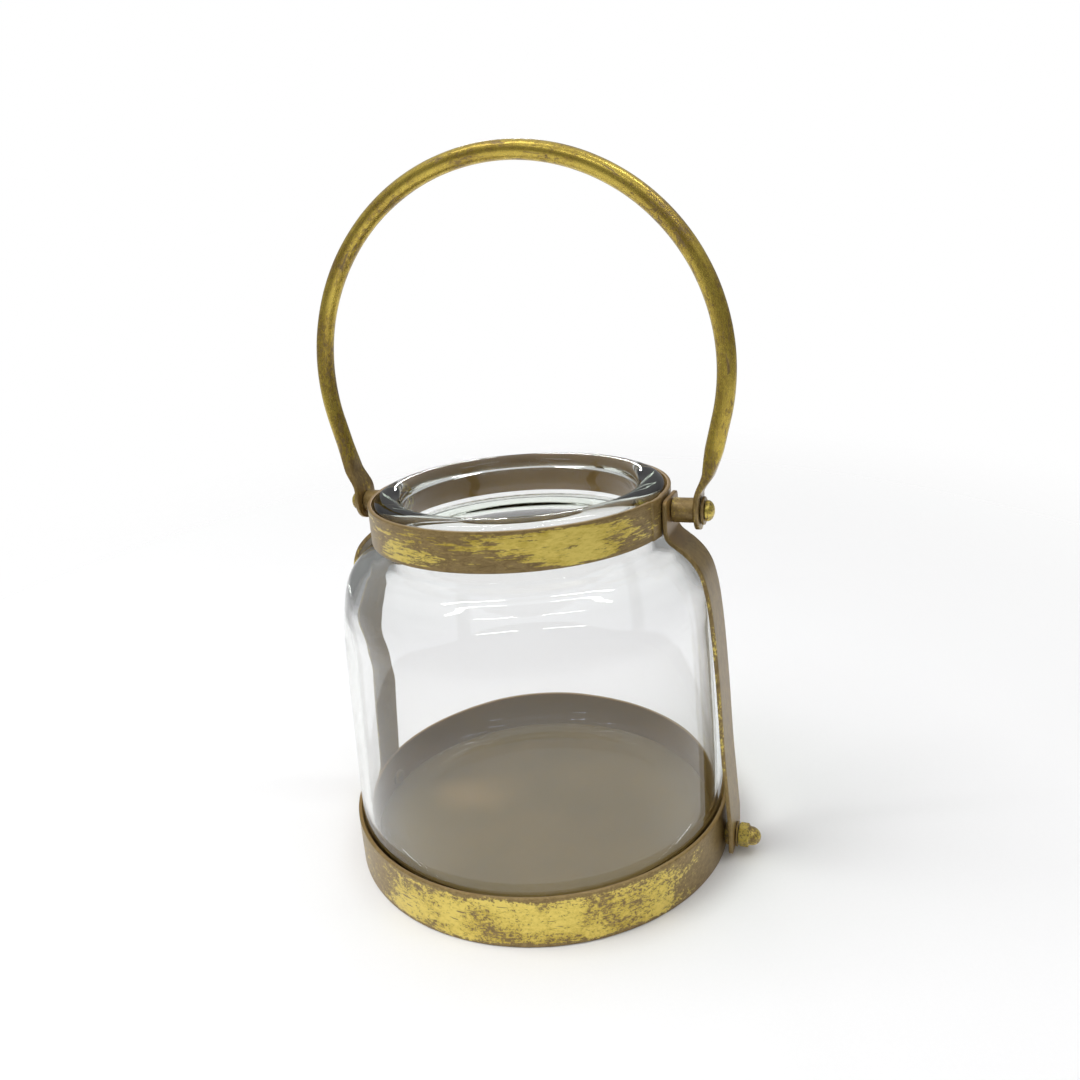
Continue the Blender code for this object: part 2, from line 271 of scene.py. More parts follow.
def finish_piece(obj, material, node, body=BODY):
    """Paints a piece and puts it in the place of its node, moving with its body."""
    obj.data.materials.clear()
    obj.data.materials.append(material)
    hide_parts(node)
    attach(obj, body)


# ---------------------------------------------------------------- materials


class Tree:
    """A material's nodes, with short calls that add one node and return its output."""

    def __init__(self, name):
        self.material = bpy.data.materials.new(name)
        self.material.use_nodes = True
        self.nodes = self.material.node_tree.nodes
        self.links = self.material.node_tree.links
        self.shader = self.nodes["Principled BSDF"]
        self.output = self.nodes["Material Output"]

    def join(self, source, socket):
        if isinstance(source, bpy.types.NodeSocket):
            self.links.new(source, socket)
        else:
            socket.default_value = source

    def attribute(self, name, output):
        node = self.nodes.new("ShaderNodeAttribute")
        node.attribute_name = name
        return node.outputs[output]

    def place(self):
        return self.nodes.new("ShaderNodeTexCoord").outputs["Object"]

    def stretch(self, vector, factors, turn=(0, 0, 0), shift=(0, 0, 0)):
        node = self.nodes.new("ShaderNodeMapping")
        self.join(vector, node.inputs["Vector"])
        node.inputs["Location"].default_value = shift
        node.inputs["Scale"].default_value = factors
        node.inputs["Rotation"].default_value = turn
        return node.outputs["Vector"]

    def noise(self, vector, scale, detail=3.0, roughness=0.5, distortion=0.0):
        node = self.nodes.new("ShaderNodeTexNoise")
        self.join(vector, node.inputs["Vector"])
        node.inputs["Scale"].default_value = scale
        node.inputs["Detail"].default_value = detail
        node.inputs["Roughness"].default_value = roughness
        node.inputs["Distortion"].default_value = distortion
        return node.outputs["Fac"]

    def sum(self, *terms):
        """The sum of (source, weight) pairs."""
        total = 0.0
        for source, weight in terms:
            node = self.nodes.new("ShaderNodeMath")
            node.operation = "MULTIPLY_ADD"
            self.join(source, node.inputs[0])
            node.inputs[1].default_value = weight
            self.join(total, node.inputs[2])
            total = node.outputs[0]
        return total

    def product(self, first, second):
        node = self.nodes.new("ShaderNodeMath")
        node.operation = "MULTIPLY"
        self.join(first, node.inputs[0])
        self.join(second, node.inputs[1])
        return node.outputs[0]

    def rise(self, value, low, high, start=0.0, end=1.0):
        """Start below low and end above high, with a smooth step between."""
        node = self.nodes.new("ShaderNodeMapRange")
        node.interpolation_type = "SMOOTHSTEP"
        self.join(value, node.inputs["Value"])
        node.inputs["From Min"].default_value = low
        node.inputs["From Max"].default_value = high
        node.inputs["To Min"].default_value = start
        node.inputs["To Max"].default_value = end
        return node.outputs["Result"]

    def blend(self, share, first, second):
        node = self.nodes.new("ShaderNodeMix")
        node.data_type = "RGBA"
        self.join(share, node.inputs["Factor"])
        for source, socket in ((first, node.inputs[6]), (second, node.inputs[7])):
            self.join((*source, 1.0) if isinstance(source, tuple) else source, socket)
        return node.outputs[2]

    def bump(self, height, depth):
        node = self.nodes.new("ShaderNodeBump")
        self.join(height, node.inputs["Height"])
        node.inputs["Distance"].default_value = depth
        node.inputs["Strength"].default_value = 1.0
        self.links.new(node.outputs["Normal"], self.shader.inputs["Normal"])

    def set(self, **values):
        """Sets or links inputs of the shader. An underscore stands for a space in an input's name."""
        for name, value in values.items():
            self.join(value, self.shader.inputs[name.replace("_", " ")])


# Paints. Each leaf is a pair, its bright tone and its deep one
GOLD_LEAF = ((0.80, 0.64, 0.15), (0.52, 0.38, 0.05))
OLIVE_LEAF = ((0.63, 0.475, 0.08), (0.40, 0.265, 0.04))
GROUND_LIGHT = (0.34, 0.235, 0.085)
GROUND_DARK = (0.20, 0.13, 0.04)
INSIDE_BROWN = (0.29, 0.175, 0.05)
TAUPE_DARK = (0.175, 0.116, 0.026)
TAUPE_LIGHT = (0.21, 0.138, 0.036)
TAUPE_SPOT = (0.36, 0.225, 0.07)
GOLD_DUST = (0.50, 0.38, 0.14)
TAUPE_SPOT_PLACE = (-36 * MM, 0, PLATE_TOP_Z)


def gilt(name, fullness, streak, patchy=0.28, hair=0.14, seed=0.0, size=1.0, gloss=0.0, leaf=GOLD_LEAF):
    """Rubbed gold leaf over bronze-brown paint.

    More leaf is left as fullness grows from -2 to 2. streak and hair draw its marks out along the piece,
    patchy gives it larger bare places, size scales its larger marks and gloss makes it shinier.
    """
    tree = Tree(name)
    grain = tree.stretch(tree.attribute("grain", "Vector"), (1, 1, 1), shift=(seed, 0, 0))
    wear = tree.attribute("wear", "Fac")
    drawn = tree.stretch(grain, (1 / streak, 1, 1))
    combed = tree.stretch(grain, (0.09, 1, 1))
    slanted = tree.stretch(grain, (0.12, 1, 1), turn=(0, math.radians(38), 0))
    patches = tree.noise(drawn, 60 / size, 2, 0.5, 0.4)
    flakes = tree.noise(drawn, 430 / size, 7, 0.74, 0.6)
    hairs = tree.noise(combed, 1300, 4, 0.65)
    scores = tree.noise(slanted, 520, 3, 0.5)
    pins = tree.noise(drawn, 1500, 4, 0.75)
    fine = (1 - patchy - hair) / 2
    level = tree.sum((patches, patchy), (flakes, fine), (hairs, hair), (pins, fine), (wear, -0.17))
    edge = 0.5 - 0.05 * fullness
    left = tree.rise(level, edge - 0.016, edge + 0.022)
    left = tree.product(left, tree.rise(scores, 0.31, 0.35))
    tone = tree.rise(tree.sum((patches, 0.4), (flakes, 0.4), (pins, 0.2)), 0.4, 0.6)
    gold = tree.blend(tone, leaf[1], leaf[0])
    mottle = tree.rise(tree.sum((flakes, 0.7), (pins, 0.3)), 0.36, 0.62)
    ground = tree.blend(mottle, GROUND_DARK, GROUND_LIGHT)
    ground = tree.blend(tree.rise(wear, 1.2, 1.6), ground, INSIDE_BROWN)
    tree.set(
        Base_Color=tree.blend(left, ground, gold),
        Metallic=tree.sum((left, 0.4), (1.0, 0.35)),
        Roughness=tree.sum((left, -0.08), (flakes, 0.16), (hairs, 0.1), (1.0, 0.29 - gloss)),
        IOR=1.45,
        Coat_Weight=0.25,
        Coat_Roughness=0.28,
    )
    tree.bump(tree.sum((left, 0.4), (hairs, 0.3), (flakes, 0.3)), 0.035 * MM)
    return tree.material


def taupe_paint():
    """Smooth paint on the tray's floor, with a breath of gold dust and one rubbed spot."""
    tree = Tree("taupe_paint")
    place = tree.place()
    cloud = tree.noise(place, 26, 3, 0.5)
    dust = tree.noise(place, 2200, 3, 0.6)
    spot = tree.nodes.new("ShaderNodeVectorMath")
    spot.operation = "DISTANCE"
    tree.links.new(tree.stretch(place, (1, 1.6, 1)), spot.inputs[0])
    spot.inputs[1].default_value = TAUPE_SPOT_PLACE
    bloom = tree.sum((spot.outputs["Value"], -1.0), (cloud, 0.03))
    colour = tree.blend(tree.rise(cloud, 0.35, 0.66), TAUPE_DARK, TAUPE_LIGHT)
    colour = tree.blend(tree.rise(bloom, -12 * MM, 14 * MM, 0, 0.7), colour, TAUPE_SPOT)
    colour = tree.blend(tree.rise(dust, 0.62, 0.7, 0, 0.25), colour, GOLD_DUST)
    tree.set(
        Base_Color=colour,
        Metallic=0.1,
        Roughness=tree.sum((cloud, 0.2), (dust, 0.1), (1.0, 0.55)),
        IOR=1.35,
    )
    tree.bump(tree.sum((cloud, 0.7), (dust, 0.3)), 0.03 * MM)
    return tree.material


def clear_glass():
    """Clear glass that shows a sea-green tint where it is thick, and lets lamps shine through it."""
    tree = Tree("clear_glass")
    place = tree.place()
    ripple = tree.noise(place, 22, 2, 0.4)
    smears = tree.noise(tree.stretch(place, (1, 1, 0.4)), 60, 5, 0.6)
    tree.set(
        Base_Color=(0.972, 0.964, 0.978, 1.0),
        Roughness=tree.rise(smears, 0.5, 0.72, 0.0, 0.008),
        IOR=1.5,
        Transmission_Weight=1.0,
    )
    tree.bump(ripple, 0.02 * MM)
    path = tree.nodes.new("ShaderNodeLightPath")
    shade = tree.nodes.new("ShaderNodeBsdfTransparent")
    shade.inputs["Color"].default_value = (0.94, 0.945, 0.945, 1.0)
    mix = tree.nodes.new("ShaderNodeMixShader")
    tree.links.new(path.outputs["Is Shadow Ray"], mix.inputs[0])
    tree.links.new(tree.shader.outputs[0], mix.inputs[1])
    tree.links.new(shade.outputs[0], mix.inputs[2])
    tree.links.new(mix.outputs[0], tree.output.inputs["Surface"])
    tint = tree.nodes.new("ShaderNodeVolumeAbsorption")
    tint.inputs["Color"].default_value = (0.55, 0.86, 0.50, 1.0)
    tint.inputs["Density"].default_value = 8.0
    tree.links.new(tint.outputs[0], tree.output.inputs["Volume"])
    return tree.material


# ---------------------------------------------------------------- jar

JAR_WALL = 3.5 * MM
JAR_FLOOR = 6.2 * MM
HEEL_R = 18 * MM
INNER_HEEL_R = 13 * MM
LIP_MID_R = 50.2 * MM
LIP_HALF_WIDTH = 5.2 * MM
LIP_RISE = 3.6 * MM
JAR_STEPS = 256
# (r, z) in mm. The first and last points of each only set the curve's end directions
JAR_INSIDE = [(71.6, 10), (71.5, 21), (71.4, 30), (70.2, 65), (69.1, 90), (68.2, 101), (66.4, 108.5)]
JAR_INSIDE += [(63.2, 114.9), (58.7, 119.4), (54, 122.3), (50.4, 125), (48.3, 128.6), (47.1, 132.5)]
JAR_INSIDE += [(46.4, 136), (45.2, 141), (45, 144.6), (45, 150)]
JAR_UNDER_LIP = [(55.4, 147), (55.4, 144.6), (54.4, 143), (52.3, 141), (52.3, 138)]
JAR_OUTSIDE = [(52.3, 144), (52.3, 141), (52.3, 135), (53.6, 130.6), (57.6, 127.2), (63.2, 123.6)]
JAR_OUTSIDE += [(67.8, 118.2), (70.4, 110), (72.3, 96), (73.7, 65), (74.9, 27), (75, 20), (75, 12)]
# The glass's slight waves: how many a metre, and how high
WAVES = (14, 0.08 * MM)
RIPPLES = (50, 0.012 * MM)


def jar_outline():
    """From the middle of the jar's floor, up the inside, over the lip and down to the foot, as (r, z)."""
    floor_z = JAR_FOOT_Z + JAR_FLOOR
    heel_mid_r = JAR_R - JAR_WALL - INNER_HEEL_R
    floor = [(heel_mid_r * step / 8, floor_z) for step in range(8)]
    heel = arc((heel_mid_r, floor_z + INNER_HEEL_R), INNER_HEEL_R, -90, 0, 14)
    inside = smooth(in_metres(JAR_INSIDE), 7)[1:-1]
    lip = []
    for step in range(25):
        angle = math.pi * step / 24
        lip_r = LIP_MID_R - LIP_HALF_WIDTH * math.cos(angle)
        lip.append((lip_r, JAR_TOP_Z - LIP_RISE + LIP_RISE * math.sin(angle)))
    under_lip = smooth(in_metres(JAR_UNDER_LIP), 4)[1:-1]
    outside = smooth(in_metres(JAR_OUTSIDE), 7)
    outer_heel = arc((JAR_R - HEEL_R, JAR_FOOT_Z + HEEL_R), HEEL_R, 0, -90, 18)
    foot = filled([outer_heel[-1], (0, JAR_FOOT_Z)], 7 * MM, closed=False)
    return floor + heel + inside + lip + under_lip + outside + outer_heel[1:-1] + foot


def wavy(x, y, z):
    """Moves a point of the jar in or out by the glass's waves, which die away at its foot and middle."""
    wave = noise.noise(Vector((x, y, z)) * WAVES[0]) * WAVES[1]
    ripple = noise.noise(Vector((x, y, z)) * RIPPLES[0] + Vector((9, 0, 0))) * RIPPLES[1]
    r = math.hypot(x, y)
    share = min(r / (20 * MM), 1) * ease(z, 3 * MM, 14 * MM)
    push = 1 - max(wave + ripple, -0.1 * MM) * share / max(r, MM)
    return (x * push, y * push, z)


def make_jar(material):
    rows = turned_rows(jar_outline(), JAR_STEPS)
    jar = new_object("jar", skin("jar", [[wavy(*point) for point in row] for row in rows]))
    finish_piece(jar, material, "glass_jar")


# ---------------------------------------------------------------- bands

BAND_SEAM_DEG = 180
COLLAR_LAP = 0.55 * MM
FULL_WEAR = 2.2


def band_rows(inner_r, outer_r, low, high, seam_deg, steps, swell=None):
    """A split band with eased edges, whose ends meet at seam_deg. swell adds to the radius at an angle."""
    corners = [(inner_r, low), (outer_r, low), (outer_r, high), (inner_r, high)]
    outline = filled(eased(corners, 0.4 * MM), 1.3 * MM)
    seam = math.radians(seam_deg)
    split = 0.04 * MM / outer_r
    rows = turned_rows(outline, steps, seam + split, 2 * math.pi - 2 * split, split=True)
    if swell is None:
        return rows
    return [[grown(point, swell(math.atan2(point[1], point[0]))) for point in row] for row in rows]


def grown(point, extra):
    """A point moved out from the Z axis."""
    r = math.hypot(point[0], point[1])
    return (point[0] * (1 + extra / r), point[1] * (1 + extra / r), point[2])


def bump_at(angle, middle_deg, width_deg):
    """1 at one place round a band, falling smoothly to 0 on both sides."""
    away = (math.degrees(angle) - middle_deg) / width_deg
    return math.exp(-away * away)


def band_mark(obj, radius, low, high, seam_deg, extra_wear):
    """Grain runs round a band. Its leaf is rubbed at both edges, inside, and towards the straps."""
    seam = math.radians(seam_deg)

    def grain(co):
        angle = (math.atan2(co.y, co.x) - seam) % (2 * math.pi)
        return (radius * angle, math.hypot(co.x, co.y), co.z)

    def wear(co):
        height = (co.z - low) / (high - low)
        edge = ease(abs(height - 0.5), 0.41, 0.5) * 0.7
        inside = 1.6 if math.hypot(co.x, co.y) < radius - 0.7 * MM else 0
        side = ease(abs(co.x) / radius, 0.78, 0.99) * 0.7
        return min(max(edge, inside) + side + extra_wear(math.atan2(co.y, co.x), height), FULL_WEAR)

    mark(obj, grain, wear)


def make_tray(leaf, paint):
    rows = band_rows(TRAY_R - SHEET, TRAY_R, 0, TRAY_TOP_Z, BAND_SEAM_DEG, 320)
    ring = new_object("tray_band", skin("tray_band", rows, wrap_rows=True, wrap_ring=False, cap="ring"))
    bored(ring, LOWER_BORE_R, LOWER_Z)

    def rubbed(angle, height):
        """Thin leaf on the front left, and a little more leaf low down."""
        return 0.6 * bump_at(angle, -150, 28) - 0.15 * ease(1 - height, 0.15, 0.3)

    band_mark(ring, TRAY_R, 0, TRAY_TOP_Z, BAND_SEAM_DEG, rubbed)
    finish_piece(ring, leaf, "base_ring")
    corners = [(0, PLATE_TOP_Z), (PLATE_R, PLATE_TOP_Z), (PLATE_R, 0), (0, 0)]
    outline = eased(corners, 0.5 * MM, closed=False)
    plate = new_object("tray_floor", skin("tray_floor", turned_rows(outline, 192)))
    finish_piece(plate, paint, "base_plate")


def make_collar(leaf):
    def lap(angle):
        """The band's outer end laps over itself just in front of the right strap."""
        degrees = math.degrees(angle)
        return COLLAR_LAP * ease(degrees, -15.2, -14.7) * (1 - ease(degrees, -9, -4))

    def rubbed(angle, height):
        """A bare stretch low on the front, and thin leaf on the front left."""
        low_front = 0.6 * bump_at(angle, -88, 20) * ease(1 - height, 0.35, 0.7)
        return low_front + 0.55 * bump_at(angle, -145, 28)

    rows = band_rows(COLLAR_R - SHEET, COLLAR_R, COLLAR_LOW_Z, COLLAR_TOP_Z, BAND_SEAM_DEG, 720, lap)
    mesh = skin("neck_collar", rows, wrap_rows=True, wrap_ring=False, cap="ring")
    collar = new_object("neck_collar", mesh)
    bored(collar, PIVOT_BORE_R, PIVOT_Z)
    band_mark(collar, COLLAR_R, COLLAR_LOW_Z, COLLAR_TOP_Z, BAND_SEAM_DEG, rubbed)
    finish_piece(collar, leaf, "collar_band")


# ---------------------------------------------------------------- straps

# The outer face from below the collar to above the tray, as (x, z) in mm
STRAP_KNEE = [(60.4, 130.2), (63, 128), (66.2, 125.4), (69.4, 121.9), (71.8, 117.6), (73.4, 112)]
STRAP_KNEE += [(74.7, 104.5), (76, 92), (77.4, 72), (78.9, 44)]
# How far from each end of the strap its rows lie, in mm: closest where the end is rounded off
STRAP_END_ROWS = (0, 0.12, 0.35, 0.8, 1.5, 2.5, 4, 6.5)
STRAP_CORNER_R = 2.5 * MM


def strap_path():
    """The strap's outer face from its upper end down to the tray, as (x, z)."""
    high_end = (STRAP_TOP_X, STRAP_TOP_Z)
    low_end = (STRAP_LOW_X, STRAP_LOW_Z)
    high_bend = (STRAP_TOP_X, 133.6 * MM)
    low_bend = (STRAP_LOW_X, 13 * MM)
    curve = smooth([high_end, high_bend, *in_metres(STRAP_KNEE), low_bend, low_end], 9)
    top = [(STRAP_TOP_X, STRAP_TOP_Z - drop * MM) for drop in STRAP_END_ROWS]
    foot = [(STRAP_LOW_X, STRAP_LOW_Z + rise * MM) for rise in reversed(STRAP_END_ROWS)]
    return top + curve + foot


def strap_rows():
    """Sections of the strap along its path, narrowing where its ends are rounded."""
    path = [Vector((x, 0, z)) for x, z in strap_path()]
    half = STRAP_WIDTH / 2
    corners = [(0, -half), (0, half), (-STRAP_THICK, half), (-STRAP_THICK, -half)]
    section = filled(eased(corners, 0.45 * MM), 1.5 * MM)
    rows = []
    for here, point in enumerate(path):
        ahead = path[min(here + 1, len(path) - 1)] - path[max(here - 1, 0)]
        out = Vector((-ahead.z, 0, ahead.x)).normalized()
        end = min(path[0].z - point.z, point.z - path[-1].z)
        width = half
        if end < STRAP_CORNER_R:
            width += math.sqrt(STRAP_CORNER_R**2 - (STRAP_CORNER_R - end) ** 2) - STRAP_CORNER_R
        pinch = 0.3 * MM * (1 - ease(end, -0.2 * MM, 0.4 * MM))
        row = []
        for depth, across in section:
            depth = min(max(depth, -STRAP_THICK + pinch), -pinch)
            row.append(point + out * depth + Vector((0, across * width / half, 0)))
        rows.append(row)
    return rows


def strap_grain(co):
    return (co.z, co.y, co.x)


def strap_wear(co):
    """Less leaf on the face than on the edges, and least at the ends."""
    edge = -0.5 * ease(abs(co.y) / (STRAP_WIDTH / 2), 0.9, 0.99)
    ends = 0.9 * (ease(co.z, 118 * MM, 132 * MM) + 1 - ease(co.z, 6 * MM, 22 * MM))
    return 0.7 + edge + ends


def make_straps(leaf):
    for side_name, side in SIDES.items():
        name = f"{side_name}_side_strap"
        strap = new_object(name, skin(name, strap_rows(), cap="row"))
        bored(strap, PIVOT_BORE_R, PIVOT_Z)
        bored(strap, LOWER_BORE_R, LOWER_Z)
        if side < 0:
            strap.data.transform(Matrix.Rotation(math.pi, 4, "Z"))
        mark(strap, strap_grain, strap_wear)
        finish_piece(strap, leaf, f"{side_name}_strap")


# ---------------------------------------------------------------- handle


def handle_half_path():
    """The right half of the handle's middle line, from the end of the eye to the crown, as (x, h)."""
    path = [(EYE_X, -EYE_R * math.sin(math.radians(angle))) for angle in EYE_ROWS_DEG]
    path += [(EYE_X, EYE_FLAT_H * share) for share in (0, 0.25, 0.5, 0.75)]
    hip_mid_x = ARCH_HALF_WIDTH - HIP_R
    hip_low_x = hip_mid_x + HIP_R * math.cos(LIMB_LEAN)
    hip_low = Vector((hip_low_x, ARCH_FOOT_H - HIP_R * math.sin(LIMB_LEAN), 0))
    limb_low_x = hip_low.x - (hip_low.y - LIMB_LOW_H) * math.tan(LIMB_LEAN)
    foot = Vector((EYE_X, EYE_FLAT_H, 0))
    limb = Vector((limb_low_x, LIMB_LOW_H, 0))
    foot_handle = foot + Vector((0, (LIMB_LOW_H - EYE_FLAT_H) / 3, 0))
    limb_handle = limb - Vector((math.sin(LIMB_LEAN), math.cos(LIMB_LEAN), 0)) * 3 * MM
    path += [(point.x, point.y) for point in interpolate_bezier(foot, foot_handle, limb_handle, limb, 14)]
    for step in range(1, 16):
        point = limb.lerp(hip_low, step / 16)
        path.append((point.x, point.y))
    path += arc((hip_mid_x, ARCH_FOOT_H), HIP_R, -math.degrees(LIMB_LEAN), 0, 10)[:-1]
    for step in range(90):
        angle = math.pi / 2 * step / 90
        path.append((ARCH_HALF_WIDTH * math.cos(angle), ARCH_FOOT_H + ARCH_RISE * math.sin(angle)))
    return path


def handle_ring(middle, tangent, height):
    """One ring of points round the bar: round above, a flat eye plate at the pivot."""
    forged = 1 - ease(height, EYE_FLAT_H, FORGED_H)
    half_thick = BAR_R + (EYE_HALF_THICK - BAR_R) * forged
    half_width = BAR_R + (EYE_R - BAR_R) * (1 - ease(height, 0, FORGED_H))
    if height < 0:
        half_width = math.sqrt(max(EYE_R**2 - height**2, 0))
    roundness = 2 / (2 + 4 * forged)
    across = Vector((tangent.z, 0, -tangent.x))
    ring = []
    for step in range(HANDLE_SIDES):
        angle = 2 * math.pi * step / HANDLE_SIDES
        over = math.copysign(abs(math.cos(angle)) ** roundness, math.cos(angle))
        along = math.copysign(abs(math.sin(angle)) ** roundness, math.sin(angle))
        ring.append(middle + across * half_thick * over + Vector((0, half_width * along, 0)))
    return ring


def make_handle(leaf):
    half = handle_half_path()
    whole = [*half, (0, ARCH_FOOT_H + ARCH_RISE), *[(-x, h) for x, h in reversed(half)]]
    points = [Vector((x, 0, h)) for x, h in whole]
    rows = []
    for here, point in enumerate(points):
        tangent = points[min(here + 1, len(points) - 1)] - points[max(here - 1, 0)]
        rows.append(handle_ring(point, tangent.normalized(), point.z))
    mesh = skin("bail", rows, cap="row")
    for vertex in mesh.vertices:
        dent = noise.noise(vertex.co * 90) * 0.05 * MM + noise.noise(vertex.co * 320) * 0.02 * MM
        if vertex.co.z > FORGED_H:
            vertex.co += vertex.normal * min(dent, 0)
    mesh.transform(Matrix.Translation((0, 0, PIVOT_Z)))
    handle = new_object("bail", mesh)
    bored(handle, PIVOT_BORE_R, PIVOT_Z)
    crown_z = PIVOT_Z + ARCH_FOOT_H

    def grain(co):
        turn = math.atan2(max(co.z - crown_z, 0), abs(co.x))
        run = ARCH_HALF_WIDTH * turn + min(co.z - crown_z, 0)
        spread = math.hypot(co.x, max(co.z - crown_z, 0))
        return (math.copysign(run - math.pi / 2 * ARCH_HALF_WIDTH, co.x), co.y, spread)

    def wear(co):
        low = 1 - ease(co.z - PIVOT_Z, 4 * MM, 30 * MM)
        return 0.45 * low + 0.3

    mark(handle, grain, wear)
    finish_piece(handle, leaf, "bail_handle", HANDLE_BODY)


# ---------------------------------------------------------------- fasteners

TURNED_STEPS = 96
DOME_STEPS = 14
# A nut's outline is six-sided only beyond this many times the radius of its bore
BORE_EDGE = 1.2


def hardware(name, outline, closed, node, side, height, material, flats=None):
    """One turned fastener along X, from an outline of (r, out).

    flats(r, out) gives the half width across the flats where the outline is six-sided, or else None.
    """
    rows = []
    for r, out in outline:
        flat = flats(r, out) if flats else None
        row = []
        for step in range(TURNED_STEPS):
            angle = 2 * math.pi * step / TURNED_STEPS
            reach = r
            if flat:
                from_flat = (angle + math.pi / 6) % (math.pi / 3) - math.pi / 6
                reach = min(r, flat / math.cos(from_flat))
            row.append((reach * math.cos(angle), reach * math.sin(angle), out))
        rows.append(row)
    mesh = along_x(skin(name, rows, wrap_rows=closed), side, height)
    piece = new_object(name, mesh)
    mark(piece, lambda co: (co.x, co.y, co.z), lambda co: 0.0)
    finish_piece(piece, material, node)


def span(right_node):
    """How far out along X a right-hand fastener starts and ends."""
    low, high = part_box(right_node)
    return low.x, high.x


def half_sizes(node):
    """Half a fastener's height and half its width."""
    low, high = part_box(node)
    return (high.z - low.z) / 2, (high.y - low.y) / 2


def dome(radius, base, rise):
    """A dome's outline from its tip out to its rim."""
    points = []
    for step in range(DOME_STEPS + 1):
        angle = math.pi / 2 * (1 - step / DOME_STEPS)
        points.append((radius * math.cos(angle), base + rise * math.sin(angle)))
    return points


def make_washer(name, part, side_name, height, bore_r, edge, material):
    """A washer or a spacer tube, with its rims rounded by edge."""
    start, end = span(f"right_{part}")
    node = f"{side_name}_{part}"
    radius = half_sizes(node)[0]
    outline = eased([(radius, end), (radius, start), (bore_r, start), (bore_r, end)], edge)
    hardware(f"{side_name}_{name}", outline, True, node, SIDES[side_name], height, material)


def make_nut(name, part, side_name, height, bore_r, material):
    """A thin six-sided nut with chamfered corners. Its flats face up and down."""
    start, end = span(f"right_{part}")
    node = f"{side_name}_{part}"
    flat, corner = half_sizes(node)
    chamfer = min(0.5 * MM, (end - start) / 4)
    corners = [(corner, end - chamfer), (corner, start + chamfer), (flat, start), (bore_r, start)]
    corners += [(bore_r, end), (flat, end)]
    outline = eased(corners, 0.12 * MM, steps=2)

    def flats(r, out):
        return flat if r > BORE_EDGE * bore_r else None

    hardware(f"{side_name}_{name}", outline, True, node, SIDES[side_name], height, material, flats)


def make_dome_bolt(side_name, material):
    """The bolt that the handle turns on, with its domed head outside the eye's washer."""
    node = f"{side_name}_pivot_bolt"
    start, end = span("right_pivot_bolt")
    head_x = span("right_pivot_washer")[1] + GAP
    rim_x = head_x + 0.5 * MM
    head_r = half_sizes("right_pivot_bolt")[0]
    outline = dome(head_r, rim_x, end - rim_x)
    under = [(head_r, rim_x), (head_r, head_x), (PIVOT_SHANK_R, head_x), (PIVOT_SHANK_R, start), (0, start)]
    outline += eased(under, 0.2 * MM, closed=False)[1:]
    hardware(f"{side_name}_dome_bolt", outline, False, node, SIDES[side_name], PIVOT_Z, material)


def make_tray_bolt(side_name, material):
    """The low-headed bolt from inside the tray band."""
    node = f"{side_name}_lower_bolt"
    start, end = span("right_lower_bolt")
    seat = TRAY_R - SHEET - 1.4 * GAP
    head_r = half_sizes("right_lower_bolt")[0]
    rim = 0.6 * MM
    corners = [(0, end), (LOWER_SHANK_R, end), (LOWER_SHANK_R, seat), (head_r, seat)]
    corners += [(head_r, start + rim), (head_r - rim, start), (0, start)]
    outline = eased(corners, 0.3 * MM, closed=False)
    hardware(f"{side_name}_tray_bolt", outline, False, node, SIDES[side_name], LOWER_Z, material)


def make_cap_nut(side_name, material):
    """A six-sided nut with a domed cap over the end of the tray bolt."""
    node = f"{side_name}_acorn_nut"
    start, end = span("right_acorn_nut")
    flat, corner = half_sizes(node)
    bore_end = span("right_lower_bolt")[1] + GAP
    hex_end = start + 4.0 * MM
    dome_r = 3.6 * MM
    chamfer = 0.5 * MM
    blind = [(0, bore_end), (LOWER_BORE_R, bore_end), (LOWER_BORE_R, start), (flat, start)]
    blind += [(corner, start + chamfer), (corner, hex_end - chamfer)]
    blind += [(dome_r + 0.15 * MM, hex_end), (dome_r, hex_end + 0.5 * MM)]
    outline = eased(blind, 0.15 * MM, closed=False, steps=3)
    outline += dome(dome_r, hex_end + 0.6 * MM, end - hex_end - 0.6 * MM)[::-1]

    def flats(r, out):
        return flat if r > BORE_EDGE * LOWER_BORE_R and out < hex_end + 0.3 * MM else None

    hardware(f"{side_name}_cap_nut", outline, False, node, SIDES[side_name], LOWER_Z, material, flats)


def make_fasteners(plain, shiny):
    for side in SIDES:
        make_washer("spacer", "spacer_tube", side, PIVOT_Z, PIVOT_BORE_R, 0.35 * MM, plain)
        make_washer("eye_washer", "pivot_washer", side, PIVOT_Z, PIVOT_BORE_R, 0.3 * MM, plain)
        make_nut("inner_nut", "pivot_nut", side, PIVOT_Z, PIVOT_BORE_R, plain)
        make_dome_bolt(side, shiny)
        make_washer("foot_washer", "lower_washer", side, LOWER_Z, LOWER_BORE_R, 0.2 * MM, plain)
        make_nut("stand_off_nut", "spacer_nut", side, LOWER_Z, LOWER_BORE_R, plain)
        make_tray_bolt(side, plain)
        make_cap_nut(side, shiny)


# ---------------------------------------------------------------- studio

# How bright the room is by height, from straight down at 0 to straight up at 1
ROOM_NEAR = [(0.0, 0.85), (0.35, 0.75), (0.43, 0.17), (0.68, 0.12), (0.82, 0.4), (1.0, 0.7)]
ROOM_FAR = [(0.0, 0.9), (0.39, 0.85), (0.46, 0.26), (0.62, 0.24), (0.78, 0.5), (1.0, 0.7)]

# Each pair of ceiling tubes: its name, how far towards the camera, half the space between, length and width
TUBE_ROWS = [("over", 0.15, 0.69, 0.9, 0.075), ("near", 1.4, 0.69, 0.9, 0.075)]
TUBE_ROWS += [("far", -4.5, 0.24, 0.3, 0.35)]
TUBE_Z = 1.7
# Watts for each metre of width
TUBE_POWER = 42


